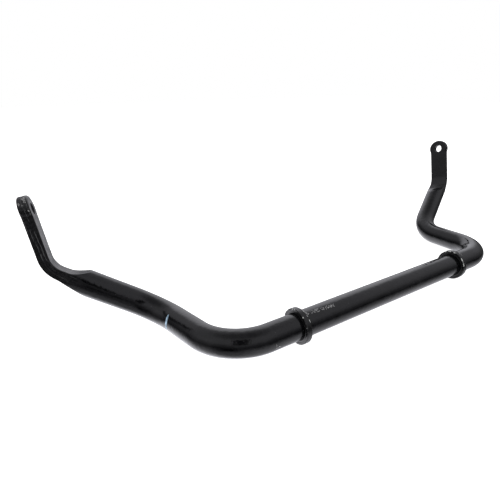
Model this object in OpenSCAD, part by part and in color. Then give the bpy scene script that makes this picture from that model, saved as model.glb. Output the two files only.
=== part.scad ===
// Front sway bar: one tubular spring bar with pressed and pierced ends, and two stop collars.
// The origin is the middle of the bar, on the straight axis that both bush seats share.
// +X runs to the right along that axis, +Y to the eyes and +Z up, as the bar lies on a floor.
// The bar is described as a tube bender makes it: a straight, a bend, a roll, the next straight.

/* [Tube] */
// Outside diameter of the tube
bar_d = 36; // [35:0.5:44]
// Wall of the tube
wall = 6; // [3:0.5:9]
// Straight middle, from one inner bend to the other
middle_length = 428; // [360:1:620]

/* [Inner bends, beside the bush seats] */
// Radius at the centre line
inner_bend_r = 68; // [45:1:110]
// Angle turned
inner_bend_angle = 81; // [60:0.5:95]
// Tilt of the bend's plane about the middle; a minus sign lowers the shank
inner_bend_roll = -3.2; // [-15:0.1:15]

/* [Shanks, between the inner and outer bends] */
// Straight length
shank_length = 52; // [20:1:120]

/* [Outer bends] */
// Radius at the centre line
outer_bend_r = 65; // [45:1:110]
// Angle turned
outer_bend_angle = 64.5; // [40:0.5:80]
// Roll of the bend's plane from the inner bend's
outer_bend_roll = 145.5; // [120:0.5:170]

/* [Arms, from the outer bends to the flats] */
// Round straight length
arm_length = 54; // [20:1:120]
// Length over which the round is pressed down to the flat
taper_length = 43; // [25:1:80]
// From the start of the taper to where the inboard side is scooped out
scoop_start = 9.5; // [4:0.5:16]
// Length of the scoop, down to the flat
scoop_length = 25; // [16:1:30]

/* [Blades] */
// Thickness of the pressed flat
blade_t = 13.5; // [9:0.5:18]
// Width of the trimmed flat
blade_w = 32; // [24:0.5:32]
// Radius of the bend in the flat, at mid-thickness
blade_bend_r = 34; // [20:1:70]
// Angle of the bend in the flat
blade_bend_angle = 49.5; // [20:0.5:70]
// Roll of that bend's plane from the outer bend's
blade_bend_roll = -86.5; // [-100:0.5:-70]
// From the bend to the centre of the eye
blade_length = 63; // [40:1:120]
// Radius on the long edges of the flat
blade_edge_r = 1.5; // [0.5:0.5:3]

/* [Eyes] */
// Outside diameter of the eye
eye_d = 36; // [33:0.5:44]
// Hole for the drop link's M14 stud
eye_hole_d = 14.5; // [10:0.5:18]

/* [Stop collars] */
// Height above the tube, all round
collar_height = 6.2; // [5.5:0.1:12]
// Width along the bar
collar_w = 8; // [5:0.5:14]
// Bush seat left between the collar and the inner bend
bush_seat_length = 42; // [30:1:70]
// Chamfer on the collar's outer edges
collar_chamfer = 1; // [0.2:0.1:2]
// Chamfer at the mouth of the collar's bore
collar_mouth = 0.8; // [0.2:0.1:2]

/* [Hidden] */
bar_r = bar_d / 2;
inside_r = bar_r - wall;
collar_d = bar_d + 2 * collar_height;
collar_x = middle_length / 2 - bush_seat_length - collar_w / 2;
// The taper's faces start this far outside the round, so that their tongues end inside the taper
tongue_start = 0.5;
// Half the gap left inside where the tube's walls are pressed together
seam_half = 0.3;
// A band this long and this much proud bridges each joint between a bend and a straight
band_length = 1;
band_proud = 0.1;
$fn = 96;

black_paint = [0.10, 0.10, 0.11];
black_zinc = [0.07, 0.07, 0.08];

// ---- the bender's moves: each starts along +X, and a bend turns towards +Y ----

module straight(r, length) rotate([0, 90, 0]) cylinder(r = r, h = length);

module bent(radius, angle)
    translate([0, radius, 0]) rotate([0, 0, -90])
        rotate_extrude(angle = angle) translate([radius, 0]) children();

module past_bend(radius, angle)
    translate([radius * sin(angle), radius * (1 - cos(angle)), 0]) rotate([0, 0, angle]) children();

// ---- where each stretch of the right-hand side begins ----

module at_inner_bend() translate([middle_length / 2, 0, 0]) rotate([inner_bend_roll, 0, 0]) children();
module at_shank() at_inner_bend() past_bend(inner_bend_r, inner_bend_angle) children();
module at_outer_bend() at_shank() translate([shank_length, 0, 0]) rotate([outer_bend_roll, 0, 0]) children();
module at_arm() at_outer_bend() past_bend(outer_bend_r, outer_bend_angle) children();
module at_taper() at_arm() translate([arm_length, 0, 0]) rotate([blade_bend_roll, 0, 0]) children();
module at_blade_bend() at_taper() translate([taper_length, 0, 0]) children();
module at_blade() at_blade_bend() past_bend(blade_bend_r, blade_bend_angle) children();
module at_eye() at_blade() translate([blade_length, 0, 0]) children();

module both_sides() {
    children();
    mirror([1, 0, 0]) children();
}

// ---- sections and stretches of the bar ----

module round_band(r) translate([-band_length / 2, 0, 0]) straight(r + band_proud, band_length);

// The round stretches of one side, past the straight middle
module round_side(r) {
    at_inner_bend() {
        round_band(r);
        bent(inner_bend_r, inner_bend_angle) circle(r = r);
    }
    at_shank() {
        round_band(r);
        straight(r, shank_length);
    }
    at_outer_bend() {
        round_band(r);
        bent(outer_bend_r, outer_bend_angle) circle(r = r);
    }
    at_arm() {
        round_band(r);
        straight(r, arm_length);
    }
    at_taper() round_band(r);
}

// Side outline of a wedge that narrows along +X from one half height to another
module wedge(from_half, to_half)
    polygon([[0, -from_half], [taper_length, -to_half], [taper_length, to_half], [0, from_half]]);

// The same wedge, with its +Y side scooped out steeply at first and then gently
module scooped_wedge(from_half, to_half) {
    halfway = scoop_start + 0.43 * scoop_length;
    left_there = to_half + 0.44 * (from_half - to_half);
    polygon([
        [0, -from_half], [taper_length, -to_half], [taper_length, to_half], [scoop_start + scoop_length, to_half],
        [halfway, left_there], [scoop_start, from_half], [0, from_half]
    ]);
}

// The round pressed down to the blade: its faces run out into the round as two tongues
module taper()
    intersection() {
        straight(bar_r, taper_length);
        linear_extrude(2 * bar_d, center = true) scooped_wedge(bar_r + tongue_start, blade_t / 2);
        rotate([90, 0, 0]) linear_extrude(2 * bar_d, center = true) wedge(bar_r + tongue_start, blade_w / 2);
    }

// Where the tube's walls are pressed together, its inside closes to a seam
module closing_inside()
    intersection() {
        straight(inside_r, taper_length);
        translate([0, 0, -bar_r])
            linear_extrude(2 * bar_r) scooped_wedge(inside_r + tongue_start, seam_half);
    }

// Section of the flat, thickness across and width up, with rounded long edges
module blade_section() {
    inner_t = blade_t - 2 * blade_edge_r;
    inner_w = blade_w - 2 * blade_edge_r;
    square([blade_t, inner_w], center = true);
    square([inner_t, blade_w], center = true);
    for (x = [-1, 1], y = [-1, 1])
        translate([x * inner_t / 2, y * inner_w / 2]) circle(r = blade_edge_r, $fn = 32);
}

module blade() {
    at_blade_bend() bent(blade_bend_r, blade_bend_angle) blade_section();
    at_blade() {
        cube([band_length, blade_t + 2 * band_proud, blade_w + 2 * band_proud], center = true);
        rotate([90, 0, 90]) linear_extrude(blade_length) blade_section();
    }
    at_eye() rotate([90, 0, 0]) cylinder(d = eye_d, h = blade_t, center = true);
}

module eye_hole() at_eye() rotate([90, 0, 0]) cylinder(d = eye_hole_d, h = 2 * blade_t, center = true);

// ---- the pieces ----

module bar()
    color(black_paint)
        difference() {
            union() {
                translate([-middle_length / 2, 0, 0]) straight(bar_r, middle_length);
                both_sides() {
                    round_side(bar_r);
                    at_taper() taper();
                    blade();
                }
            }
            translate([-middle_length / 2, 0, 0]) straight(inside_r, middle_length);
            both_sides() {
                round_side(inside_r);
                at_taper() closing_inside();
                eye_hole();
            }
        }

// A ring pressed on the tube, with its outer edges and the mouths of its bore chamfered
module stop_collar(side) {
    half = collar_w / 2;
    outside = collar_d / 2;
    color(black_zinc)
        translate([side * collar_x, 0, 0]) rotate([0, 90, 0])
            rotate_extrude()
                polygon([
                    [bar_r, -half + collar_mouth], [bar_r + collar_mouth, -half],
                    [outside - collar_chamfer, -half], [outside, -half + collar_chamfer],
                    [outside, half - collar_chamfer], [outside - collar_chamfer, half],
                    [bar_r + collar_mouth, half], [bar_r, half - collar_mouth]
                ]);
}

module left_stop_collar() stop_collar(-1);
module right_stop_collar() stop_collar(1);

bar();
left_stop_collar();
right_stop_collar();
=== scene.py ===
"""Front sway bar: the looks of one tubular spring bar with pressed ends, and of its two stop collars."""

import math

import bmesh
import bpy
import numpy as np
from mathutils import Matrix, Vector, noise


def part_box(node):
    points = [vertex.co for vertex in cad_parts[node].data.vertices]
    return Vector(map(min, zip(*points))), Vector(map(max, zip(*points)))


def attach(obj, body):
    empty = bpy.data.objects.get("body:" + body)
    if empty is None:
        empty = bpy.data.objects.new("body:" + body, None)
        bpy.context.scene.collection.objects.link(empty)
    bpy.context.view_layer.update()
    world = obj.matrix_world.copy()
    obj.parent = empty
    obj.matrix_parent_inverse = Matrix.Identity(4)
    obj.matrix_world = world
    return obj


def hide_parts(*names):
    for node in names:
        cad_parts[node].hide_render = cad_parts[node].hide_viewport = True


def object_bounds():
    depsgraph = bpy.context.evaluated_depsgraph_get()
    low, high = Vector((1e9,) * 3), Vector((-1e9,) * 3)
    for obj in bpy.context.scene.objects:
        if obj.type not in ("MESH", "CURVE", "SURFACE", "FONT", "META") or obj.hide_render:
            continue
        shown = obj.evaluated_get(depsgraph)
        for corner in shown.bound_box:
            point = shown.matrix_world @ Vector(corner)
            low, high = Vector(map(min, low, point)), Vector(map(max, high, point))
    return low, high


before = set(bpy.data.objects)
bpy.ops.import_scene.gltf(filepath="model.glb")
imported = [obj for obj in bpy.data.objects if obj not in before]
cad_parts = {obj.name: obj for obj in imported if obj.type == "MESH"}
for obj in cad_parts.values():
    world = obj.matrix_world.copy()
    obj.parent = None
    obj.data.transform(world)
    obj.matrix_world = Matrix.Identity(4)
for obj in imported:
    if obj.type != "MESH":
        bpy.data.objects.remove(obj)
cad_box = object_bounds()

MM = 0.001

# ---- sizes of the bar, as its CAD gives them ----

BAR_R = 18 * MM
MIDDLE_LENGTH = 428 * MM
INNER_BEND_R, INNER_BEND_DEG, INNER_BEND_ROLL = 68 * MM, 81, -3.2
SHANK_LENGTH = 52 * MM
OUTER_BEND_R, OUTER_BEND_DEG, OUTER_BEND_ROLL = 65 * MM, 64.5, 145.5
ARM_LENGTH = 54 * MM
TAPER_LENGTH = 43 * MM
TONGUE_START = 0.5 * MM
SCOOP_START, SCOOP_LENGTH = 9.5 * MM, 25 * MM
BLADE_HALF_T, BLADE_HALF_W = 6.75 * MM, 16 * MM
BLADE_BEND_R, BLADE_BEND_DEG, BLADE_BEND_ROLL = 34 * MM, 49.5, -86.5
BLADE_LENGTH = 63 * MM
EYE_R, EYE_HOLE_R = 18 * MM, 7.25 * MM

# ---- sizes that only the looks need ----

ARRIS_R = 1.3 * MM      # the painted, slightly rounded long edges
ARRIS_SHARE = 0.6       # how much of that radius there is where the taper starts
TIP_ARRIS_R = 3.2 * MM  # the same at the very end, which is hammered rounder
NECK_R = 9 * MM         # fillet between the blade's sides and the eye
PLATE_START = 34 * MM   # along the blade, where the eye's plate takes over from the swept rings
TIP_LENGTH = 20 * MM    # from there to where the edge is as worn as the eye's tip
HOLE_LIP_R = 0.7 * MM   # round lip of the pierced hole
SCOOP_POWER = 1.6       # how much steeper the scoop is at its start
RUN_OUT_T, RUN_OUT_W, RUN_OUT_TRIM = 1.0 * MM, 0.3 * MM, 0.02 * MM  # soft ends of the taper's slopes

# The seam where the tube's walls were pressed together, and a groove on each side of it
SEAM_START, SEAM_RISE = 14 * MM, 24 * MM  # along the taper
SEAM_DEPTH, SEAM_WIDTH, SEAM_WANDER, SEAM_WAVE = 0.55 * MM, 0.8 * MM, 0.9 * MM, 26 * MM
INBOARD_GROOVE, INBOARD_GROOVE_DEPTH, INBOARD_GROOVE_WIDTH = 3.4 * MM, 0.28 * MM, 0.6 * MM
OUTBOARD_GROOVE, OUTBOARD_GROOVE_DEPTH, OUTBOARD_GROOVE_WIDTH = 3.1 * MM, 0.24 * MM, 0.7 * MM
GROOVE_WANDER, GROOVE_WAVE = 0.35 * MM, 14 * MM
TIP_SEAM_LOST = 0.55                      # share of its depth that is hammered away at the tip

# Where a section's trimmed edge begins: the sine of its angle on the sweep, and the share of the
# arris on the eye's plate, each with how soon the edge is fully there
SWEEP_EDGE_FROM, SWEEP_EDGE_RISE = 0.93, 0.03
PLATE_EDGE_FROM, PLATE_EDGE_RISE = 0.9, 0.1

# How deep the surface is uneven or torn, and how many waves of that there are in a metre
UNEVEN_DEPTH, UNEVEN_WAVES = 0.06 * MM, 30
TORN_DEPTH, TORN_WAVES, MOST_TORN = 0.16 * MM, 260, 1.6
PIERCED_WEAR = 0.6      # how torn the hole's wall is

# ---- steps ----

FACE_STEPS, ARRIS_STEPS, EDGE_STEPS = 20, 4, 10           # round a quarter of a ring
LINE_SAMPLES, ARC_SAMPLES = 40, 60                        # along a section's lines and arcs
MIDDLE_STEPS, INNER_BEND_STEPS, SHANK_STEPS = 36, 40, 12  # rings along each stretch
OUTER_BEND_STEPS, ARM_STEPS = 32, 14
TAPER_STEPS, BLADE_BEND_STEPS, BLADE_STEPS = 54, 34, 36
SIDE_STEPS, NECK_STEPS, EYE_STEPS = 24, 12, 96            # round the eye's plate
PLATE_LOOPS = (0.08, 0.2, 0.36, 0.54, 0.72, 0.88, 1.0)    # from its outline to the hole's lip
LIP_STEPS, WALL_STEPS = 4, 8
WELD_DISTANCE, GROWN_WELD_DISTANCE = 0.002 * MM, 0.0001 * MM


# ---- the bender's moves, as 4x4 matrices that start along +X ----

def along(x):
    return Matrix.Translation((x, 0, 0))


def roll(deg):
    return Matrix.Rotation(math.radians(deg), 4, "X")


def past_bend(radius, deg):
    a = math.radians(deg)
    end = Matrix.Translation((radius * math.sin(a), radius * (1 - math.cos(a)), 0))
    return end @ Matrix.Rotation(a, 4, "Z")


AT_INNER_BEND = along(MIDDLE_LENGTH / 2) @ roll(INNER_BEND_ROLL)
AT_SHANK = AT_INNER_BEND @ past_bend(INNER_BEND_R, INNER_BEND_DEG)
AT_OUTER_BEND = AT_SHANK @ along(SHANK_LENGTH) @ roll(OUTER_BEND_ROLL)
AT_ARM = AT_OUTER_BEND @ past_bend(OUTER_BEND_R, OUTER_BEND_DEG)
AT_TAPER = AT_ARM @ along(ARM_LENGTH) @ roll(BLADE_BEND_ROLL)
AT_BLADE_BEND = AT_TAPER @ along(TAPER_LENGTH)
AT_BLADE = AT_BLADE_BEND @ past_bend(BLADE_BEND_R, BLADE_BEND_DEG)

INNER_ARC = INNER_BEND_R * math.radians(INNER_BEND_DEG)
OUTER_ARC = OUTER_BEND_R * math.radians(OUTER_BEND_DEG)
BLADE_ARC = BLADE_BEND_R * math.radians(BLADE_BEND_DEG)

# Distances along the bar from its middle
TAPER_WAY = MIDDLE_LENGTH / 2 + INNER_ARC + SHANK_LENGTH + OUTER_ARC + ARM_LENGTH
PRESSED_WAY = TAPER_WAY + SCOOP_START


# ---- sections of the bar ----

def quarter_angles():
    """Angles of a ring's points, from the middle of a flat to the middle of a trimmed edge.

    They lie close together at the arris.
    """
    arris_z = BLADE_HALF_W - ARRIS_R
    arris_y = BLADE_HALF_T - ARRIS_R
    face = [math.atan2(arris_z * i / FACE_STEPS, BLADE_HALF_T) for i in range(FACE_STEPS)]
    turn = [math.radians(90 * i / ARRIS_STEPS) for i in range(ARRIS_STEPS + 1)]
    arris = [math.atan2(arris_z + ARRIS_R * math.sin(t), arris_y + ARRIS_R * math.cos(t)) for t in turn]
    edge = [math.atan2(BLADE_HALF_W, arris_y * (1 - i / EDGE_STEPS)) for i in range(1, EDGE_STEPS + 1)]
    return np.array(face + arris + edge)


QUARTER = quarter_angles()
RING = np.concatenate([
    QUARTER, math.pi - QUARTER[-2::-1], math.pi + QUARTER[1:], 2 * math.pi - QUARTER[-2:0:-1]])
RING_STEPS = len(RING)


def section_radius(half_t, half_w, arris):
    """How far each point of a ring is from the centre.

    The section is the tube's circle, cut by two flats and two trimmed edges, with rounded corners.
    """
    inner = BAR_R - arris
    flat = min(half_t - arris, inner)
    trim = min(half_w - arris, inner)
    if math.hypot(flat, trim) <= inner:
        corners = [(flat, trim, 0.0, math.pi / 2)]
    else:
        flat_end, trim_end = math.sqrt(inner ** 2 - flat ** 2), math.sqrt(inner ** 2 - trim ** 2)
        face_turn, edge_turn = math.atan2(flat_end, flat), math.atan2(trim, trim_end)
        corners = [
            (flat, flat_end, 0.0, face_turn), (0.0, 0.0, face_turn, edge_turn),
            (trim_end, trim, edge_turn, math.pi / 2)]
    outline = [(flat + arris, corners[0][1] * i / LINE_SAMPLES) for i in range(LINE_SAMPLES)]
    for y, z, start, stop in corners:
        r = arris if y or z else BAR_R
        turn = np.linspace(start, stop, ARC_SAMPLES)
        outline += [(y + r * math.cos(t), z + r * math.sin(t)) for t in turn]
    last_y = outline[-1][0]
    outline += [(last_y * (1 - i / LINE_SAMPLES), trim + arris) for i in range(1, LINE_SAMPLES + 1)]
    y, z = np.array(outline).T
    angle = np.arctan2(z, y)
    order = np.argsort(angle, kind="stable")
    folded = np.abs((RING + math.pi / 2) % math.pi - math.pi / 2)
    return np.interp(folded, angle[order], np.hypot(y, z)[order])


def smooth(t):
    """A soft rise from 0 to 1."""
    t = min(max(t, 0.0), 1.0)
    return t * t * (3 - 2 * t)


def eased(rise, width):
    """A slope with a soft start: close to zero before its start, and to the rise after it."""
    return (rise + math.sqrt(rise * rise + width * width)) / 2


def press_profile(s):
    """Inboard and outboard half thickness, and half width, at a distance past the taper's start."""
    left = TAPER_LENGTH - s
    fall = BAR_R + TONGUE_START - BLADE_HALF_T
    slope_w = (BAR_R + TONGUE_START - BLADE_HALF_W) / TAPER_LENGTH
    scooped = min(max((s - SCOOP_START) / SCOOP_LENGTH, 0.0), 1.0)
    inboard = BLADE_HALF_T + fall * (1 - scooped) ** SCOOP_POWER
    outboard = BLADE_HALF_T + max(eased(fall / TAPER_LENGTH * left, RUN_OUT_T) - RUN_OUT_TRIM, 0)
    half_w = BLADE_HALF_W + max(eased(slope_w * left, RUN_OUT_W) - RUN_OUT_TRIM, 0)
    return inboard, outboard, half_w


def groove(from_middle, depth, width):
    return depth * math.exp(-((from_middle / width) ** 2))


def seam_depth(y, s, side):
    """Depth of the seam and of the grooves beside it, at a height on a trimmed edge."""
    seam = SEAM_WANDER * noise.noise((s / SEAM_WAVE, side * 7.3, 0.0))
    shift = GROOVE_WANDER * noise.noise((s / GROOVE_WAVE, side * 3.1, 5.0))
    depth = groove(y - seam, SEAM_DEPTH, SEAM_WIDTH)
    depth += groove(y - INBOARD_GROOVE - shift, INBOARD_GROOVE_DEPTH, INBOARD_GROOVE_WIDTH)
    depth += groove(y + OUTBOARD_GROOVE + shift, OUTBOARD_GROOVE_DEPTH, OUTBOARD_GROOVE_WIDTH)
    return depth


# ---- the right-hand half of the bar, then its mirror ----

class Shell:
    """The bar's points and faces as they are laid down.

    For each point it also keeps its place on the section and along the bar, and how torn it is.
    """

    def __init__(self):
        self.points, self.skin, self.sheared, self.faces = [], [], [], []

    def add(self, matrix, local, way, sheared=0.0):
        self.points.append(matrix @ local)
        self.skin.append((local.y, local.z, way))
        self.sheared.append(sheared)
        return len(self.points) - 1

    def ring(self, matrix, way, inboard, outboard, half_w, arris, pressed=0.0):
        """One section of the sweep; as far as it is pressed, its trimmed edges carry the seam."""
        inboard_side = section_radius(inboard, half_w, arris)
        outboard_side = section_radius(outboard, half_w, arris)
        row = []
        for angle, r in zip(RING, np.where(np.cos(RING) > 0, inboard_side, outboard_side)):
            y, z = r * math.cos(angle), r * math.sin(angle)
            on_edge = 0.0
            if pressed > 0:
                on_edge = pressed * smooth((abs(math.sin(angle)) - SWEEP_EDGE_FROM) / SWEEP_EDGE_RISE)
                side = 1 if z > 0 else -1
                z -= side * on_edge * seam_depth(y, way, side)
            row.append(self.add(matrix, Vector((0, y, z)), way, on_edge))
        return row

    def join(self, a, b, closed=True, flipped=False):
        """Lays a strip of faces between two rows of points."""
        for i in range(len(a) if closed else len(a) - 1):
            j = (i + 1) % len(a)
            self.faces.append((a[i], b[i], b[j], a[j]) if flipped else (a[i], a[j], b[j], b[i]))


def round_stretch(start, twist, length, steps, way):
    """Rings along a straight: each is (matrix, distance along the bar)."""
    rings = []
    for i in range(steps):
        x = length * i / steps
        rings.append((start @ along(x) @ roll(twist), way + x))
    return rings


def bent_stretch(start, twist, radius, deg, steps, way):
    """Rings round a bend, in the same form."""
    arc = radius * math.radians(deg)
    rings = []
    for i in range(steps):
        rings.append((start @ past_bend(radius, deg * i / steps) @ roll(twist), way + arc * i / steps))
    return rings


def tube_rings():
    """Rings of the round tube, from the bar's middle to the taper."""
    arm_twist = BLADE_BEND_ROLL
    shank_twist = OUTER_BEND_ROLL + BLADE_BEND_ROLL
    middle_twist = INNER_BEND_ROLL + OUTER_BEND_ROLL + BLADE_BEND_ROLL
    way = MIDDLE_LENGTH / 2
    rings = round_stretch(along(0), middle_twist, way, MIDDLE_STEPS, 0.0)
    rings += bent_stretch(AT_INNER_BEND, shank_twist, INNER_BEND_R, INNER_BEND_DEG, INNER_BEND_STEPS, way)
    way += INNER_ARC
    rings += round_stretch(AT_SHANK, shank_twist, SHANK_LENGTH, SHANK_STEPS, way)
    way += SHANK_LENGTH
    rings += bent_stretch(AT_OUTER_BEND, arm_twist, OUTER_BEND_R, OUTER_BEND_DEG, OUTER_BEND_STEPS, way)
    way += OUTER_ARC
    return rings + round_stretch(AT_ARM, arm_twist, ARM_LENGTH, ARM_STEPS, way)


def blade_rings():
    """Rings of the pressed end up to the eye's plate, measured from the start of the taper."""
    rings = round_stretch(AT_TAPER, 0, TAPER_LENGTH, TAPER_STEPS, 0.0)
    rings += bent_stretch(
        AT_BLADE_BEND, 0, BLADE_BEND_R, BLADE_BEND_DEG, BLADE_BEND_STEPS, TAPER_LENGTH)
    for i in range(BLADE_STEPS + 1):
        x = PLATE_START * i / BLADE_STEPS
        rings.append((AT_BLADE @ along(x), TAPER_LENGTH + BLADE_ARC + x))
    return rings


def half_bar(shell):
    """Lays down the right-hand half, from the bar's middle to the eye."""
    # flats and edges this far out leave the tube's circle whole, whatever the arris is
    uncut, any_arris = BAR_R * 2, 1 * MM
    rows = [shell.ring(matrix, way, uncut, uncut, uncut, any_arris) for matrix, way in tube_rings()]
    for matrix, s in blade_rings():
        arris = ARRIS_R * (ARRIS_SHARE + (1 - ARRIS_SHARE) * smooth(s / TAPER_LENGTH))
        pressed = smooth((s - SEAM_START) / SEAM_RISE)
        rows.append(shell.ring(matrix, TAPER_WAY + s, *press_profile(s), arris, pressed))
    for a, b in zip(rows[:-1], rows[1:]):
        shell.join(a, b)
    eye_plate(shell, rows[-1], TAPER_WAY + TAPER_LENGTH + BLADE_ARC)


def eye_outline():
    """Outline of the blade's end, from the last swept ring, round the eye and back.

    Each point is (x, z) and the outward normal there.
    """
    # the fillet touches the straight side from outside and the eye's circle from outside
    fillet_z = BLADE_HALF_W + NECK_R
    fillet_x = BLADE_LENGTH - math.sqrt((EYE_R + NECK_R) ** 2 - fillet_z ** 2)
    meet = math.atan2(fillet_z, fillet_x - BLADE_LENGTH)
    there = []
    for i in range(SIDE_STEPS):
        x = PLATE_START + (fillet_x - PLATE_START) * i / SIDE_STEPS
        there.append((x, BLADE_HALF_W, 0.0, 1.0))
    start, stop = -math.pi / 2, meet - math.pi
    for i in range(NECK_STEPS):
        t = start + (stop - start) * i / NECK_STEPS
        x, z = fillet_x + NECK_R * math.cos(t), fillet_z + NECK_R * math.sin(t)
        there.append((x, z, -math.cos(t), -math.sin(t)))
    back = [(x, -z, nx, -nz) for x, z, nx, nz in reversed(there)]
    eye = []
    for i in range(EYE_STEPS + 1):
        t = meet * (1 - 2 * i / EYE_STEPS)
        eye.append((BLADE_LENGTH + EYE_R * math.cos(t), EYE_R * math.sin(t), math.cos(t), math.sin(t)))
    return there + eye + back


def edge_profile(arris):
    """Two round corners and the flat between them, across the plate's edge, as (out, height)."""
    turn = [math.radians(90 * i / ARRIS_STEPS) for i in range(ARRIS_STEPS + 1)]
    flat = BLADE_HALF_T - arris
    upper = [(arris * math.sin(t), flat + arris * math.cos(t)) for t in turn]
    upper += [(arris, flat * (1 - i / EDGE_STEPS)) for i in range(1, EDGE_STEPS + 1)]
    return upper + [(out, -y) for out, y in upper[-2::-1]]


def plate_edge(shell, way):
    """The sheared edge round the blade's end, as columns of points from one face to the other."""
    columns = []
    for x, z, nx, nz in eye_outline():
        tip = smooth((x - PLATE_START) / TIP_LENGTH)
        arris = ARRIS_R + (TIP_ARRIS_R - ARRIS_R) * smooth((x - BLADE_LENGTH) / EYE_R)
        side = 1 if z > 0 else -1
        column = []
        for out, y in edge_profile(arris):
            on_edge = smooth((out / arris - PLATE_EDGE_FROM) / PLATE_EDGE_RISE)
            depth = out - arris - on_edge * seam_depth(y, way + x, side) * (1 - TIP_SEAM_LOST * tip)
            point = Vector((x + nx * depth, y, z + nz * depth))
            column.append(shell.add(AT_BLADE, point, way + x, on_edge * (1 + tip)))
        columns.append(column)
    for a, b in zip(columns[:-1], columns[1:]):
        shell.join(a, b, closed=False)
    return columns


def plate_row(shell, from_eye, y, way, sheared=0.0):
    """Points at one height, each given by its distance from the eye's centre."""
    row = []
    for p in from_eye:
        point = Vector((BLADE_LENGTH + p.x, y, p.z))
        row.append(shell.add(AT_BLADE, point, way + BLADE_LENGTH + p.x, sheared))
    return row


def plate_face(shell, loop, way, sign):
    """One face of the blade's end, from its outline to the hole's wall; gives its innermost row."""
    to_blade = AT_BLADE.inverted()
    from_eye = []
    for v in loop:
        local = to_blade @ shell.points[v]
        from_eye.append(Vector((local.x - BLADE_LENGTH, 0, local.z)))
    rows = [loop]
    lip_start = EYE_HOLE_R + HOLE_LIP_R
    for t in PLATE_LOOPS:
        inwards = [p.lerp(p.normalized() * lip_start, t) for p in from_eye]
        rows.append(plate_row(shell, inwards, sign * BLADE_HALF_T, way))
    for k in range(1, LIP_STEPS + 1):
        a = math.radians(90 * k / LIP_STEPS)
        lip_r = EYE_HOLE_R + HOLE_LIP_R * (1 - math.sin(a))
        y = sign * (BLADE_HALF_T - HOLE_LIP_R * (1 - math.cos(a)))
        rows.append(plate_row(shell, [p.normalized() * lip_r for p in from_eye], y, way, PIERCED_WEAR))
    for a, b in zip(rows[:-1], rows[1:]):
        shell.join(a, b, flipped=sign > 0)
    return rows[-1]


def eye_plate(shell, ring, way):
    """The blade's end: a plate with a sheared outline and a pierced hole, joined to the last ring."""
    columns = plate_edge(shell, way)
    middle = RING_STEPS // 2
    inboard_flat = [ring[i % RING_STEPS] for i in range(-FACE_STEPS + 1, FACE_STEPS)]
    outboard_flat = [ring[middle + i] for i in range(FACE_STEPS - 1, -FACE_STEPS, -1)]
    inboard_rim = plate_face(shell, [column[0] for column in columns] + inboard_flat, way, 1)
    outboard_rim = plate_face(shell, [column[-1] for column in columns] + outboard_flat, way, -1)
    as_laid = Matrix.Identity(4)
    rows = [inboard_rim]
    for k in range(1, WALL_STEPS):
        row = []
        for a, b in zip(inboard_rim, outboard_rim):
            point = shell.points[a].lerp(shell.points[b], k / WALL_STEPS)
            row.append(shell.add(as_laid, point, way + BLADE_LENGTH, PIERCED_WEAR))
        rows.append(row)
    rows.append(outboard_rim)
    for a, b in zip(rows[:-1], rows[1:]):
        shell.join(a, b, flipped=True)


def weathered(point, sheared):
    """How far the surface stands off its smooth shape.

    It is hammered and torn where it was sheared, and faintly uneven elsewhere.
    """
    uneven = UNEVEN_DEPTH * (noise.noise(point * UNEVEN_WAVES) - 1)
    if sheared <= 0:
        return uneven
    torn = noise.fractal(point * TORN_WAVES, 0.9, 2.1, 3) - 0.8
    return uneven + min(sheared, MOST_TORN) * TORN_DEPTH * min(torn, 0)


def mirrored(point):
    return Vector((-point.x, point.y, point.z))


def linked(name, data):
    """A new object in the scene."""
    made = bpy.data.objects.new(name, data)
    bpy.context.scene.collection.objects.link(made)
    return made


def finish_mesh(bm, mesh):
    """Shades a mesh smooth and puts it away."""
    for face in bm.faces:
        face.smooth = True
    bm.to_mesh(mesh)
    bm.free()


def make_bar():
    shell = Shell()
    half_bar(shell)
    count = len(shell.points)
    points = shell.points + [mirrored(point) for point in shell.points]
    faces = shell.faces + [tuple(v + count for v in reversed(face)) for face in shell.faces]
    skin = shell.skin + [(y, z, -way) for y, z, way in shell.skin]
    mesh = bpy.data.meshes.new("bar_skin")
    mesh.from_pydata(points, [], faces)
    skin_places = mesh.attributes.new("skin", "FLOAT_VECTOR", "POINT").data
    skin_places.foreach_set("vector", [value for place in skin for value in place])
    mesh.attributes.new("sheared", "FLOAT", "POINT").data.foreach_set("value", shell.sheared * 2)
    bm = bmesh.new()
    bm.from_mesh(mesh)
    bmesh.ops.remove_doubles(bm, verts=bm.verts, dist=WELD_DISTANCE)
    bmesh.ops.recalc_face_normals(bm, faces=bm.faces)
    bm.normal_update()
    sheared = bm.verts.layers.float["sheared"]
    moves = [(v, v.normal * weathered(v.co, v[sheared])) for v in bm.verts]
    for v, move in moves:
        v.co += move
        v.co.z = max(v.co.z, cad_box[0].z)  # nothing reaches below the CAD's lowest point
    finish_mesh(bm, mesh)
    return linked("bar_skin", mesh)


# ---- node helpers ----

FLOAT, INT = "NodeSocketFloat", "NodeSocketInt"
VECTOR, MATERIAL = "NodeSocketVector", "NodeSocketMaterial"
BELL_BASE = 2.718


def placed(tree, kind, links=None, **settings):
    """Adds a node, sets its properties, fills its inputs by name or number and links sockets to them."""
    node = tree.nodes.new(kind)
    inputs = settings.pop("inputs", {})
    for key, value in settings.items():
        setattr(node, key, value)
    for key, value in inputs.items():
        node.inputs[key].default_value = value
    for key, socket in (links or {}).items():
        tree.links.new(socket, node.inputs[key])
    return node


def fill(tree, socket, value):
    """Gives an input a number, or links another socket to it."""
    if isinstance(value, (int, float)):
        socket.default_value = value
    else:
        tree.links.new(value, socket)


def maths(tree, operation, *values):
    """One step of arithmetic on sockets or numbers."""
    node = placed(tree, "ShaderNodeMath", operation=operation)
    for socket, value in zip(node.inputs, values):
        fill(tree, socket, value)
    return node.outputs[0]


def plus(tree, total, *terms):
    for term in terms:
        total = maths(tree, "ADD", total, term)
    return total


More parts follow.
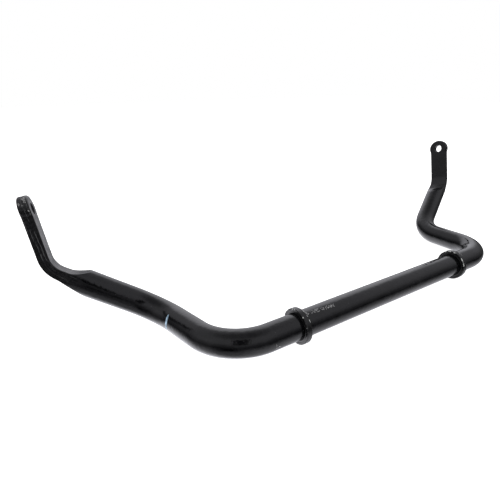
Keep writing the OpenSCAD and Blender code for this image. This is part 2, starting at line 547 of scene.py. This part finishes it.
def minus(tree, a, b):
    return maths(tree, "SUBTRACT", a, b)


def times(tree, product, *factors):
    for factor in factors:
        product = maths(tree, "MULTIPLY", product, factor)
    return product


def bell(tree, value, centre, width):
    """1 where a value is at the centre, and next to nothing from two widths away."""
    off = maths(tree, "DIVIDE", minus(tree, value, centre), width)
    return maths(tree, "POWER", BELL_BASE, times(tree, off, off, -1.0))


def ramp(tree, value, low, high, to_low=0.0, to_high=1.0):
    """A value's soft rise between two bounds."""
    bounds = {1: low, 2: high, 3: to_low, 4: to_high}
    node = placed(tree, "ShaderNodeMapRange", {0: value}, interpolation_type="SMOOTHSTEP", inputs=bounds)
    return node.outputs[0]


def noise_of(tree, vector, scale, detail=2.0, rough=0.5):
    grain = {"Detail": detail, "Roughness": rough}
    node = placed(tree, "ShaderNodeTexNoise", {"Vector": vector}, inputs=grain)
    fill(tree, node.inputs["Scale"], scale)
    return node.outputs["Fac"]


def combined(tree, x, y, z):
    node = placed(tree, "ShaderNodeCombineXYZ")
    for socket, value in zip(node.inputs, (x, y, z)):
        fill(tree, socket, value)
    return node.outputs[0]


def split(tree, vector):
    return placed(tree, "ShaderNodeSeparateXYZ", {0: vector}).outputs


def vectors(tree, operation, links, output="Vector"):
    """One step of arithmetic on vectors."""
    return placed(tree, "ShaderNodeVectorMath", links, operation=operation).outputs[output]


def new_tree(name, kind, inputs, outputs):
    """An empty node group with named sockets, and its two ends."""
    tree = bpy.data.node_groups.new(name, kind)
    for label, socket_kind, value in inputs:
        socket = tree.interface.new_socket(label, in_out="INPUT", socket_type=socket_kind)
        if value is not None:
            socket.default_value = value
    for label, socket_kind in outputs:
        tree.interface.new_socket(label, in_out="OUTPUT", socket_type=socket_kind)
    return tree, tree.nodes.new("NodeGroupInput").outputs, tree.nodes.new("NodeGroupOutput").inputs


# ---- effects that more than one finish uses ----

def painted_surface_group():
    """Sprayed black paint: cloudy patches, orange peel and dust nibs."""
    tree, given, result = new_tree(
        "painted_surface", "ShaderNodeTree",
        [("Vector", VECTOR, None), ("Patch Scale", FLOAT, 60.0), ("Peel Scale", FLOAT, 420.0),
         ("Nib Scale", FLOAT, 330.0), ("Nibs", FLOAT, 0.5)],
        [("Patches", FLOAT), ("Peel", FLOAT), ("Nib Mask", FLOAT)])
    patches = ramp(tree, noise_of(tree, given["Vector"], given["Patch Scale"], 5.0, 0.6), 0.36, 0.66)
    peel = noise_of(tree, given["Vector"], given["Peel Scale"], 3.0, 0.5)
    grains = {"Vector": given["Vector"], "Scale": given["Nib Scale"]}
    grit = placed(tree, "ShaderNodeTexVoronoi", grains, feature="F1").outputs
    near = ramp(tree, grit["Distance"], 0.2, 0.06)
    chance = placed(tree, "ShaderNodeSeparateColor", {0: grit["Color"]}).outputs[0]
    few = maths(tree, "LESS_THAN", chance, given["Nibs"])
    tree.links.new(patches, result["Patches"])
    tree.links.new(peel, result["Peel"])
    tree.links.new(times(tree, near, few), result["Nib Mask"])
    return tree


def worn_edge_group():
    """Where paint has chipped off or gathered along a sharp or torn edge."""
    tree, given, result = new_tree(
        "worn_edge", "ShaderNodeTree",
        [("Vector", VECTOR, None), ("Edge", FLOAT, 0.0), ("Chip Scale", FLOAT, 500.0),
         ("Wear", FLOAT, 0.5)],
        [("Chips", FLOAT), ("Ragged", FLOAT)])
    ragged = noise_of(tree, given["Vector"], given["Chip Scale"], 4.0, 0.7)
    broad = noise_of(tree, given["Vector"], times(tree, given["Chip Scale"], 0.16), 2.0, 0.5)
    reach = times(tree, given["Edge"], ramp(tree, broad, 0.42, 0.6))
    level = times(tree, reach, plus(tree, ragged, given["Wear"]))
    tree.links.new(ramp(tree, level, 0.62, 0.78), result["Chips"])
    tree.links.new(ragged, result["Ragged"])
    return tree


PAINTED_SURFACE = painted_surface_group()
WORN_EDGE = worn_edge_group()


# ---- finishes ----

BAR_BLACK, BAR_BLACK_CLOUD = (0.0008, 0.0008, 0.0011), (0.0026, 0.0026, 0.0032)
# the streak grey is a painted sheen on the torn streaks
DUST_GREY, STREAK_SHEEN_GREY, SCUFFED_GREY = (0.10, 0.10, 0.105), (0.085, 0.085, 0.088), (0.24, 0.24, 0.24)
COLLAR_BLACK, COLLAR_BLACK_CLOUD = (0.0015, 0.0015, 0.0018), (0.005, 0.005, 0.0054)
BARE_METAL = (0.42, 0.43, 0.42)
MARK_BLUE, THIN_BLUE = (0.36, 0.50, 0.64), (0.16, 0.24, 0.32)
INK_WHITE, THIN_WHITE = (0.55, 0.55, 0.56), (0.08, 0.08, 0.085)
PAPER_WHITE, CARD_BLACK = (0.8, 0.8, 0.8), (0.005, 0.005, 0.005)


def new_material(name):
    material = bpy.data.materials.new(name)
    material.use_nodes = True
    tree = material.node_tree
    tree.nodes.clear()
    shader = tree.nodes.new("ShaderNodeBsdfPrincipled")
    placed(tree, "ShaderNodeOutputMaterial", {"Surface": shader.outputs[0]})
    return material, tree, shader


def matt_material(name, color, glow):
    """A surface with no gloss, lit from within as far as its glow says."""
    material, tree, shader = new_material(name)
    shader.inputs["Base Color"].default_value = (*color, 1)
    shader.inputs["Roughness"].default_value = 1.0
    shader.inputs["Specular IOR Level"].default_value = 0.0
    shader.inputs["Emission Color"].default_value = (1, 1, 1, 1)
    shader.inputs["Emission Strength"].default_value = glow
    return material, tree, shader


def object_place(tree):
    return placed(tree, "ShaderNodeTexCoord").outputs["Object"]


def attribute(tree, name, output):
    return placed(tree, "ShaderNodeAttribute", attribute_name=name).outputs[output]


def stretched(tree, vector, scale):
    return placed(tree, "ShaderNodeMapping", {"Vector": vector}, inputs={"Scale": scale}).outputs[0]


def grouped(tree, group, links, **values):
    """The outputs of a shared effect, with this finish's own values in it."""
    inputs = {key.replace("_", " "): value for key, value in values.items()}
    return placed(tree, "ShaderNodeGroup", links, node_tree=group, inputs=inputs).outputs


def mixed_color(tree, mask, a, b):
    node = placed(tree, "ShaderNodeMix", {0: mask}, data_type="RGBA")
    for socket, value in ((node.inputs[6], a), (node.inputs[7], b)):
        if isinstance(value, tuple):
            socket.default_value = (*value, 1)
        else:
            tree.links.new(value, socket)
    return node.outputs[2]


def stacked_bumps(tree, shader, *bumps):
    """Height maps of (socket, depth in metres, strength), each laid over the one before."""
    last = None
    for height, depth, strength in bumps:
        relief = {"Strength": strength, "Distance": depth}
        node = placed(tree, "ShaderNodeBump", {"Height": height}, inputs=relief)
        if last:
            tree.links.new(last, node.inputs["Normal"])
        last = node.outputs[0]
    tree.links.new(last, shader.inputs["Normal"])


def bar_paint_material():
    """Gloss black paint over drawn steel tube, torn where the ends were trimmed, with a painted sheen on
    the torn streaks.
    """
    material, tree, shader = new_material("bar_black_paint")
    place = object_place(tree)
    skin = attribute(tree, "skin", "Vector")
    sheared = attribute(tree, "sheared", "Fac")
    paint = grouped(
        tree, PAINTED_SURFACE, {"Vector": place},
        Patch_Scale=46.0, Peel_Scale=190.0, Nib_Scale=230.0, Nibs=0.05)
    tip = ramp(tree, sheared, 1.3, 1.9)
    edge = grouped(tree, WORN_EDGE, {"Vector": place, "Edge": tip}, Chip_Scale=560.0, Wear=0.24)
    drawing_lines = noise_of(tree, stretched(tree, skin, (900.0, 900.0, 22.0)), 1.0, 3.0, 0.6)
    streaks = noise_of(tree, stretched(tree, skin, (760.0, 80.0, 44.0)), 1.0, 4.0, 0.65)
    # the lighter grey along the crests of the torn streaks is a painted sheen in place of the gloss the
    # torn ridges catch; the ridges themselves are the bump below
    sheen_crests = times(tree, ramp(tree, streaks, 0.57, 0.65), ramp(tree, sheared, 0.1, 0.9))

    cloudy = mixed_color(tree, paint["Patches"], BAR_BLACK, BAR_BLACK_CLOUD)
    dusty = mixed_color(tree, times(tree, paint["Nib Mask"], 0.2), cloudy, DUST_GREY)
    sheen_streaked = mixed_color(tree, times(tree, sheen_crests, 0.6), dusty, STREAK_SHEEN_GREY)
    chipped = mixed_color(tree, times(tree, edge["Chips"], 0.8), sheen_streaked, SCUFFED_GREY)
    tree.links.new(chipped, shader.inputs["Base Color"])

    way = maths(tree, "ABSOLUTE", split(tree, skin)[2])
    whole = ramp(tree, sheared, 0.3, 0.0)
    pressed = times(tree, ramp(tree, way, PRESSED_WAY, PRESSED_WAY + 30 * MM), whole)
    patchy = ramp(tree, paint["Patches"], 0.0, 1.0, 0.06, 0.13)
    mottled = ramp(tree, paint["Peel"], 0.42, 0.62, 0.0, 0.08)
    rough = plus(tree, patchy, mottled, times(tree, sheared, 0.04), times(tree, pressed, 0.2))
    tree.links.new(rough, shader.inputs["Roughness"])

    torn = times(tree, streaks, sheared)
    stacked_bumps(
        tree, shader, (paint["Peel"], 0.4 * MM, 0.7), (drawing_lines, 0.16 * MM, 0.3),
        (torn, 0.8 * MM, 0.85))
    return material


def collar_paint_material():
    """The collars' black finish, chipped to bare metal along the outer edges; the extra chips on the upper
    side are also a painted rim highlight.
    """
    material, tree, shader = new_material("collar_black_finish")
    place = object_place(tree)
    paint = grouped(
        tree, PAINTED_SURFACE, {"Vector": place},
        Patch_Scale=150.0, Peel_Scale=700.0, Nib_Scale=420.0, Nibs=0.2)
    edge = grouped(
        tree, WORN_EDGE, {"Vector": place, "Edge": attribute(tree, "edge", "Fac")},
        Chip_Scale=1150.0, Wear=0.52)
    cloudy = mixed_color(tree, paint["Patches"], COLLAR_BLACK, COLLAR_BLACK_CLOUD)
    # bare metal chips; their thicker band on the upper side is partly a painted rim highlight
    chipped = mixed_color(tree, edge["Chips"], cloudy, BARE_METAL)
    tree.links.new(chipped, shader.inputs["Base Color"])
    tree.links.new(ramp(tree, paint["Patches"], 0.0, 1.0, 0.16, 0.3), shader.inputs["Roughness"])
    stacked_bumps(tree, shader, (paint["Peel"], 0.22 * MM, 0.4), (edge["Ragged"], 0.2 * MM, 0.35))
    return material


def mark_material(name, color, roughness, blotch_scale, thin_color):
    """A dab of marking paint or ink, thin in places so that the black shows through."""
    material, tree, shader = new_material(name)
    thin = ramp(tree, noise_of(tree, object_place(tree), blotch_scale, 4.0, 0.6), 0.38, 0.6)
    tree.links.new(mixed_color(tree, thin, thin_color, color), shader.inputs["Base Color"])
    shader.inputs["Roughness"].default_value = roughness
    stacked_bumps(tree, shader, (thin, 0.1 * MM, 0.5))
    return material


# ---- geometry node trees ----

def growing_tree(name, inputs):
    """An empty geometry node tree that puts out one piece."""
    return new_tree(name, "GeometryNodeTree", inputs, [("Geometry", "NodeSocketGeometry")])


def finish_tree(tree, given, result, geometry):
    """Every tree ends in plain geometry with its material."""
    real = placed(tree, "GeometryNodeRealizeInstances", {0: geometry}).outputs[0]
    dressed = {"Geometry": real, "Material": given["Material"]}
    painted = placed(tree, "GeometryNodeSetMaterial", dressed).outputs[0]
    tree.links.new(painted, result["Geometry"])


def grown(name, tree, inputs):
    """The plain mesh that a geometry node tree makes with these inputs."""
    seed = linked(name + "_seed", bpy.data.meshes.new(name + "_seed"))
    modifier = seed.modifiers.new("nodes", "NODES")
    modifier.node_group = tree
    sockets = {
        item.name: item.identifier for item in tree.interface.items_tree
        if item.item_type == "SOCKET" and item.in_out == "INPUT"}
    for label, value in inputs.items():
        modifier[sockets[label]] = value
    bpy.context.view_layer.update()
    made = bpy.data.meshes.new_from_object(seed.evaluated_get(bpy.context.evaluated_depsgraph_get()))
    seed.modifiers.clear()
    bpy.data.objects.remove(seed)
    bm = bmesh.new()
    bm.from_mesh(made)
    bmesh.ops.remove_doubles(bm, verts=bm.verts, dist=GROWN_WELD_DISTANCE)
    bmesh.ops.recalc_face_normals(bm, faces=bm.faces)
    finish_mesh(bm, made)
    made.name = name
    return linked(name, made)


# ---- the stop collars, turned rings made by a node tree ----

FILLET_STEPS, SECTION_STEPS = 5, 76
EDGE_WEAR_REACH, EDGE_WEAR_FULL = 2.2 * MM, 0.5 * MM  # from the collar's outer edges
FACE_REACH, FACE_FULL = 0.6 * MM, 0.1 * MM            # from its faces
TURNED_GROOVE_WIDTH = 0.45 * MM


def swept_ring(tree, given):
    """A rectangle with rounded corners, swept round the X axis."""
    wall = minus(tree, given["Outer Radius"], given["Bore Radius"])
    middle = times(tree, plus(tree, given["Outer Radius"], given["Bore Radius"]), 0.5)
    section = placed(
        tree, "GeometryNodeCurvePrimitiveQuadrilateral",
        {"Width": wall, "Height": given["Width"]}, mode="RECTANGLE").outputs[0]
    rounded = placed(
        tree, "GeometryNodeFilletCurve", {"Curve": section, "Radius": given["Edge Radius"]},
        mode="POLY", inputs={"Count": FILLET_STEPS}).outputs[0]
    dense = placed(
        tree, "GeometryNodeResampleCurve", {"Curve": rounded},
        mode="COUNT", inputs={"Count": SECTION_STEPS}).outputs[0]
    circle = placed(
        tree, "GeometryNodeCurvePrimitiveCircle",
        {"Resolution": given["Steps Round"], "Radius": middle}, mode="RADIUS").outputs[0]
    swept = placed(
        tree, "GeometryNodeCurveToMesh", {"Curve": circle, "Profile Curve": dense}).outputs[0]
    centre = combined(tree, given["Centre"], 0.0, 0.0)
    return placed(
        tree, "GeometryNodeTransform", {"Geometry": swept, "Translation": centre},
        inputs={"Rotation": (0.0, math.pi / 2, 0.0)}).outputs[0]


def turned_ring_tree():
    """A ring about the X axis, with a turned groove in each face and nicked outer edges.

    Its "edge" attribute says how worn each point is: most along the outer edges, and more on the upper
    side, where the extra chips are also a painted rim highlight.
    """
    tree, given, result = growing_tree("turned_ring", [
        ("Centre", FLOAT, 0.0), ("Bore Radius", FLOAT, 18 * MM), ("Outer Radius", FLOAT, 24.2 * MM),
        ("Width", FLOAT, 8 * MM), ("Edge Radius", FLOAT, 0.7 * MM), ("Groove Radius", FLOAT, 20.2 * MM),
        ("Groove Depth", FLOAT, 0.3 * MM), ("Nick Depth", FLOAT, 0.3 * MM), ("Steps Round", INT, 216),
        ("Seed", FLOAT, 0.0), ("Material", MATERIAL, None)])
    ring = swept_ring(tree, given)
    place = placed(tree, "GeometryNodeInputPosition").outputs[0]
    x, y, z = split(tree, place)
    out = vectors(tree, "LENGTH", {0: combined(tree, 0.0, y, z)}, "Value")
    off = minus(tree, x, given["Centre"])
    from_face = minus(tree, times(tree, given["Width"], 0.5), maths(tree, "ABSOLUTE", off))
    from_rim = minus(tree, given["Outer Radius"], out)
    rim = ramp(tree, from_rim, EDGE_WEAR_REACH, EDGE_WEAR_FULL)
    flank = ramp(tree, from_face, EDGE_WEAR_REACH, EDGE_WEAR_FULL)
    edge = times(tree, rim, flank)
    # chips thicken towards the upper side: partly wear, partly a painted rim highlight along the top edge
    upper_chips_and_rim_highlight = ramp(tree, maths(tree, "DIVIDE", z, out), -0.1, 0.7, 0.5, 1.05)

    on_face = ramp(tree, from_face, FACE_REACH, FACE_FULL)
    dip = bell(tree, out, given["Groove Radius"], TURNED_GROOVE_WIDTH)
    inwards = times(tree, maths(tree, "SIGN", off), -1.0)
    cut = combined(tree, times(tree, dip, on_face, given["Groove Depth"], inwards), 0.0, 0.0)

    shifted = vectors(tree, "ADD", {0: place, 1: combined(tree, given["Seed"], 0.0, 0.0)})
    nicked = ramp(tree, noise_of(tree, shifted, 420.0, 3.0, 0.6), 0.5, 0.68)
    depth = times(tree, nicked, edge, times(tree, given["Nick Depth"], -1.0))
    normal = placed(tree, "GeometryNodeInputNormal").outputs[0]
    nick = vectors(tree, "SCALE", {0: normal, "Scale": depth})
    offset = vectors(tree, "ADD", {0: nick, 1: cut})
    cut_ring = placed(tree, "GeometryNodeSetPosition", {"Geometry": ring, "Offset": offset}).outputs[0]
    marked = placed(
        tree, "GeometryNodeStoreNamedAttribute",
        {"Geometry": cut_ring, "Value": times(tree, edge, upper_chips_and_rim_highlight)},
        data_type="FLOAT", domain="POINT", inputs={"Name": "edge"}).outputs[0]
    finish_tree(tree, given, result, marked)
    return tree


def make_collar(name, material, tree, seed):
    low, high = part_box(name)
    return grown(name.replace("stop_collar", "collar_ring"), tree, {
        "Centre": (low.x + high.x) / 2, "Bore Radius": BAR_R, "Outer Radius": high.z,
        "Width": high.x - low.x, "Seed": seed, "Material": material})


# ---- the marks that the maker leaves on it ----

STROKE_PLACE, STROKE_BOW, STROKE_SWAY = 49.2 * MM, 1.2 * MM, 0.25 * MM  # along the near shank
STROKE_FROM_DEG, STROKE_TURN_DEG = 130, 68                              # round the tube
STROKE_HALF_WIDTH, STROKE_RAGGED = 1.9 * MM, 0.35 * MM
STROKE_PROUD, STROKE_SUNK = 0.09 * MM, 0.3 * MM                         # its top and underside
STROKE_STEPS_ROUND, STROKE_STEPS_WIDE = 60, 8


def stroke_row(t, lift):
    """Points across the brush stroke, at a share of its length."""
    angle = math.radians(STROKE_FROM_DEG + STROKE_TURN_DEG * t)
    sway = STROKE_SWAY * noise.noise((t * 7, 1.5, 0.3))
    centre = STROKE_PLACE - STROKE_BOW * math.sin(math.pi * t) + sway
    blunt = math.sin(math.pi * min(max(t, 0.02), 0.98)) ** 0.28
    half = (STROKE_HALF_WIDTH + STROKE_RAGGED * noise.noise((t * 9, 8.1, 0.7))) * blunt
    row = []
    for j in range(STROKE_STEPS_WIDE + 1):
        u = 2 * j / STROKE_STEPS_WIDE - 1
        r = BAR_R + lift * (1 if lift < 0 else 1 - 0.6 * u * u)
        point = Vector((centre + half * u, r * math.cos(angle), r * math.sin(angle)))
        row.append(mirrored(AT_SHANK @ point))
    return row


def make_paint_mark():
    """A brush stroke of light blue paint round the near arm, following the tube's surface."""
    steps_round, steps_wide = STROKE_STEPS_ROUND, STROKE_STEPS_WIDE
    bm = bmesh.new()
    skins = []
    for lift in (STROKE_PROUD, -STROKE_SUNK):
        rows = []
        for i in range(steps_round + 1):
            rows.append([bm.verts.new(point) for point in stroke_row(i / steps_round, lift)])
        skins.append(rows)
        for a, b in zip(rows[:-1], rows[1:]):
            for j in range(steps_wide):
                bm.faces.new((a[j], a[j + 1], b[j + 1], b[j]))
    top, bottom = skins
    rim = [(i, 0) for i in range(steps_round)] + [(steps_round, j) for j in range(steps_wide)]
    rim += [(i, steps_wide) for i in range(steps_round, 0, -1)] + [(0, j) for j in range(steps_wide, 0, -1)]
    for (i, j), (k, m) in zip(rim, rim[1:] + rim[:1]):
        bm.faces.new((top[i][j], top[k][m], bottom[k][m], bottom[i][j]))
    bmesh.ops.recalc_face_normals(bm, faces=bm.faces)
    mesh = bpy.data.meshes.new("paint_mark")
    finish_mesh(bm, mesh)
    return linked("paint_mark", mesh)


def ink_dots_tree():
    """Worn ink dots in a grid bent round the tube: a batch print with nothing left to read."""
    tree, given, result = growing_tree("ink_dots", [
        ("Start", FLOAT, 0.0), ("Length", FLOAT, 50 * MM), ("Height", FLOAT, 5 * MM),
        ("Around", FLOAT, 0.5), ("Slant", FLOAT, 0.0), ("Tube Radius", FLOAT, 18 * MM),
        ("Columns", INT, 60), ("Rows", INT, 6), ("Dot Radius", FLOAT, 0.4 * MM),
        ("Kept", FLOAT, 0.4), ("Seed", INT, 3), ("Material", MATERIAL, None)])
    grid = placed(tree, "GeometryNodeMeshGrid", {
        "Size X": given["Length"], "Size Y": given["Height"],
        "Vertices X": given["Columns"], "Vertices Y": given["Rows"]}).outputs[0]
    place = placed(tree, "GeometryNodeInputPosition").outputs[0]
    x, y, z = split(tree, place)
    wobble = times(tree, minus(tree, noise_of(tree, place, 160.0, 2.0, 0.5), 0.5), 3 * MM)
    across = maths(tree, "DIVIDE", plus(tree, y, wobble), given["Tube Radius"])
    angle = plus(tree, plus(tree, given["Around"], times(tree, x, given["Slant"])), across)
    onto = combined(
        tree, plus(tree, x, given["Start"]),
        times(tree, maths(tree, "SINE", angle), given["Tube Radius"], -1.0),
        times(tree, maths(tree, "COSINE", angle), given["Tube Radius"]))
    bent = placed(tree, "GeometryNodeSetPosition", {"Geometry": grid, "Position": onto}).outputs[0]

    chance = placed(tree, "FunctionNodeRandomValue", {"Seed": given["Seed"]}, data_type="FLOAT").outputs[1]
    words = ramp(tree, noise_of(tree, combined(tree, x, 0.0, 0.0), 230.0, 1.0, 0.5), 0.42, 0.5)
    keep = maths(tree, "LESS_THAN", chance, times(tree, given["Kept"], words))
    outwards = {"Vector": combined(tree, 0.0, y, z)}
    turn = placed(tree, "FunctionNodeAlignRotationToVector", outwards, axis="Z").outputs[0]
    dot = placed(
        tree, "GeometryNodeMeshIcoSphere", {"Radius": given["Dot Radius"]},
        inputs={"Subdivisions": 2}).outputs[0]
    dots = placed(
        tree, "GeometryNodeInstanceOnPoints",
        {"Points": bent, "Selection": keep, "Instance": dot, "Rotation": turn},
        inputs={"Scale": (1.0, 1.0, 0.35)}).outputs[0]
    finish_tree(tree, given, result, dots)
    return tree


BATCH_PRINT = {
    "Start": -137 * MM, "Length": 47 * MM, "Height": 3.8 * MM, "Around": math.radians(19), "Slant": 3.7,
    "Columns": 56, "Rows": 5, "Dot Radius": 0.42 * MM, "Kept": 0.46, "Seed": 5}
BEND_FLECKS = {
    "Start": -211 * MM, "Length": 8 * MM, "Height": 4 * MM, "Around": math.radians(103), "Slant": 25.0,
    "Columns": 8, "Rows": 4, "Dot Radius": 0.5 * MM, "Kept": 0.5, "Seed": 2}


# ---- the pieces ----

bar_paint = bar_paint_material()
collar_paint = collar_paint_material()
blue_paint = mark_material("blue_marking_paint", MARK_BLUE, 0.45, 420.0, THIN_BLUE)
white_ink = mark_material("white_marking_ink", INK_WHITE, 0.7, 700.0, THIN_WHITE)

bar_skin = make_bar()
bar_skin.data.materials.append(bar_paint)
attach(bar_skin, "root")
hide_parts("bar")

ring_tree = turned_ring_tree()
for side, seed in (("left", 0.3), ("right", 1.7)):
    collar = make_collar(side + "_stop_collar", collar_paint, ring_tree, seed)
    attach(collar, "root")
    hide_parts(side + "_stop_collar")

paint_mark = make_paint_mark()
paint_mark.data.materials.append(blue_paint)
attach(paint_mark, "root")

dots_tree = ink_dots_tree()
for name, inputs in (("ink_dots", BATCH_PRINT), ("ink_flecks", BEND_FLECKS)):
    dots = grown(name, dots_tree, {**inputs, "Tube Radius": BAR_R, "Material": white_ink})
    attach(dots, "root")


# ---- floor, light and camera ----

FLOOR_REACH, FLOOR_DROP = 6, 0.2 * MM
CAMERA_PLACE = (-0.45582, -0.33155, 0.28943)
CAMERA_LENS, CAMERA_SENSOR = 28.83, 36
AZIMUTH, ELEVATION, TILT = math.radians(-32.99), math.radians(22.89), math.radians(-0.308)
LOOK = Vector((
    -math.sin(AZIMUTH) * math.cos(ELEVATION), math.cos(AZIMUTH) * math.cos(ELEVATION),
    -math.sin(ELEVATION)))


def flat_mesh(name, half_width, low, high, z):
    mesh = bpy.data.meshes.new(name)
    corners = [(-half_width, low, z), (half_width, low, z), (half_width, high, z), (-half_width, high, z)]
    mesh.from_pydata(corners, [], [(0, 1, 2, 3)])
    return mesh


def make_floor():
    """White studio paper, lit from within so that no hard shadow is left on it."""
    material, tree, shader = matt_material("floor_paper", PAPER_WHITE, 0.95)
    fibre = noise_of(tree, object_place(tree), 900.0, 2.0, 0.5)
    stacked_bumps(tree, shader, (fibre, 0.05 * MM, 0.1))
    sheet = flat_mesh("floor", FLOOR_REACH, -FLOOR_REACH, FLOOR_REACH, cad_box[0].z - FLOOR_DROP)
    made = linked("floor", sheet)
    made.data.materials.append(material)
    made.visible_glossy = False
    return made


def make_camera():
    data = bpy.data.cameras.new("camera")
    data.lens = CAMERA_LENS
    data.sensor_width = CAMERA_SENSOR
    made = linked("camera", data)
    made.location = CAMERA_PLACE
    made.rotation_mode = "QUATERNION"
    made.rotation_quaternion = LOOK.to_track_quat("-Z", "Y") @ Matrix.Rotation(TILT, 3, "Z").to_quaternion()
    bpy.context.scene.camera = made
    return made


def make_card(name, glow, half_width, low, high, behind):
    """A card behind the camera that is seen only in gloss, like the dark front of a camera."""
    made = linked(name, flat_mesh(name, half_width, low, high, 0))
    made.data.materials.append(matt_material(name, CARD_BLACK, glow)[0])
    made.location = camera.location - LOOK * behind
    made.rotation_mode = "QUATERNION"
    made.rotation_quaternion = camera.rotation_quaternion
    for ray in ("camera", "diffuse", "shadow", "transmission", "volume_scatter"):
        setattr(made, "visible_" + ray, False)
    return made


def glow_toward(tree, way, toward, start, full, strength):
    """A soft patch of light, or of dark if its strength is negative, round one direction."""
    facing = placed(
        tree, "ShaderNodeVectorMath", {0: way}, operation="DOT_PRODUCT", inputs={1: toward})
    return ramp(tree, facing.outputs["Value"], start, full, 0.0, strength)


def mirrored_studio(tree):
    """What the gloss paint mirrors, as a strength for each direction.

    It is brightest below and behind, dim on the camera's side, and dark where the paper ends.
    """
    way = placed(tree, "ShaderNodeTexCoord").outputs["Generated"]
    up = split(tree, way)[2]
    paper = ramp(tree, up, -0.12, -0.72, 0.0, 0.88)
    lit_paper = glow_toward(tree, way, (-0.166, 0.62, -0.766), 0.66, 0.96, 1.0)
    far_paper = glow_toward(tree, way, (0.416, 0.847, -0.327), 0.9, 0.99, 0.3)
    dim_corner = glow_toward(tree, way, (-0.569, -0.478, -0.669), 0.8, 0.97, -0.45)
    ceiling = ramp(tree, up, 0.0, 0.62, 0.0, 0.48)
    zenith = ramp(tree, up, 0.8, 1.0, 0.0, -0.35)
    side_wall = glow_toward(tree, way, (-0.975, 0.135, 0.173), 0.85, 0.99, 0.17)
    backdrop = glow_toward(tree, way, (0.55, 0.78, 0.3), 0.78, 0.97, 0.95)
    skirting = bell(tree, up, -0.1, 0.09)
    sweep = times(tree, backdrop, minus(tree, 1.0, times(tree, skirting, 0.65)))
    horizon = bell(tree, up, -0.1, 0.05)
    even = minus(tree, 0.13, times(tree, horizon, 0.11))
    below = plus(tree, paper, lit_paper, plus(tree, far_paper, dim_corner))
    above = plus(tree, ceiling, zenith, plus(tree, sweep, side_wall))
    return plus(tree, below, above, even)


def studio_world():
    """Soft light from all round, and the mirrored studio for the rays that gloss sends out."""
    world = bpy.data.worlds.new("studio")
    world.use_nodes = True
    tree = world.node_tree
    tree.nodes.clear()
    cool_white = {"Color": (0.98, 0.98, 1.04, 1)}
    studio = placed(
        tree, "ShaderNodeBackground", {"Strength": mirrored_studio(tree)}, inputs=cool_white)
    plain_white = {"Color": (1.0, 1.0, 1.0, 1), "Strength": 1.0}
    plain = placed(tree, "ShaderNodeBackground", inputs=plain_white)
    is_glossy = placed(tree, "ShaderNodeLightPath").outputs["Is Glossy Ray"]
    chosen = placed(
        tree, "ShaderNodeMixShader", {0: is_glossy, 1: plain.outputs[0], 2: studio.outputs[0]})
    placed(tree, "ShaderNodeOutputWorld", {0: chosen.outputs[0]})
    bpy.context.scene.world = world


floor = make_floor()

studio_world()
bpy.context.scene.view_settings.view_transform = "Standard"

camera = make_camera()

for name, glow, half_width, low, high, behind in (
        ("black_card", 0.0, 0.075, -0.11, 0.24, 0.03), ("grey_card", 0.13, 0.12, -0.14, 0.3, 0.05)):
    card = make_card(name, glow, half_width, low, high, behind)
